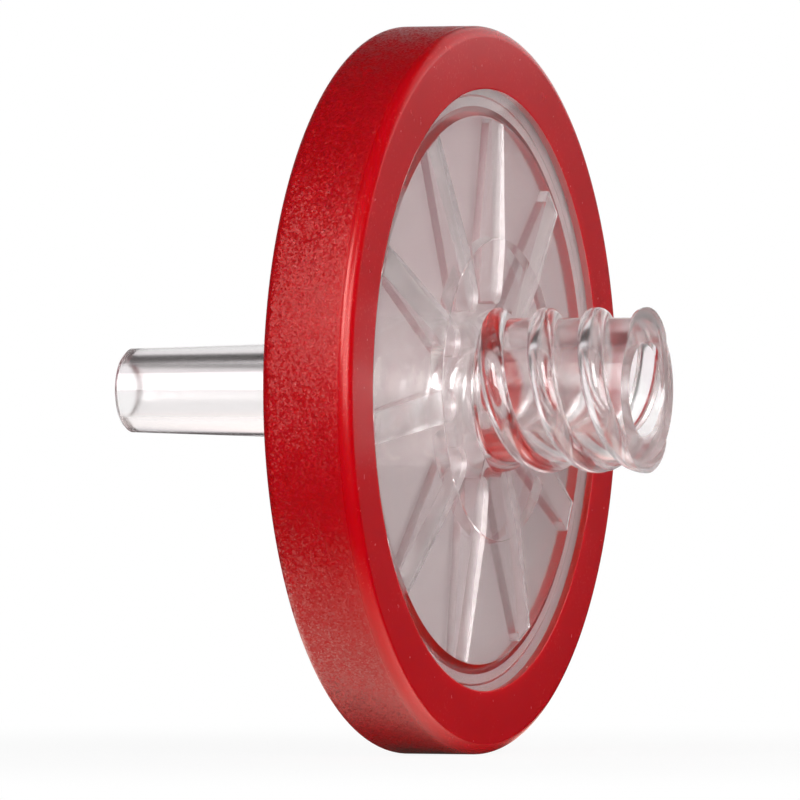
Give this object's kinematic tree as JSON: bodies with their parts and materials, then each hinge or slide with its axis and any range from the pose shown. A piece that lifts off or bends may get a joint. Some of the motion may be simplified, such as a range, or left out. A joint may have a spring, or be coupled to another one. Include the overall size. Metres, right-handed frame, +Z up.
{
  "type": "syringe filter",
  "caption": "Disc-shaped syringe filter with a clear two-part housing, a red rim ring, a threaded female Luer lock inlet and a male Luer slip outlet.",
  "frame": {"origin": "under the middle of the part's length, on the surface that the ring's rim stands on", "axes": "+X along the flow axis towards the threaded inlet, against the flow; +Z up, square to the flow axis; the disc stands on its rim"},
  "size_m": [0.0262, 0.034, 0.034],
  "materials": {
    "clear_inlet": "clear, polished",
    "clear_outlet": "clear, polished",
    "membrane": "matte, fine pored",
    "red_ring": "satin, finely speckled"
  },
  "bodies": {
    "root": {"inlet_housing": "clear_inlet", "outlet_housing": "clear_outlet", "filter_membrane": "membrane", "seal_ring": "red_ring"}
  },
  "joints": []
}
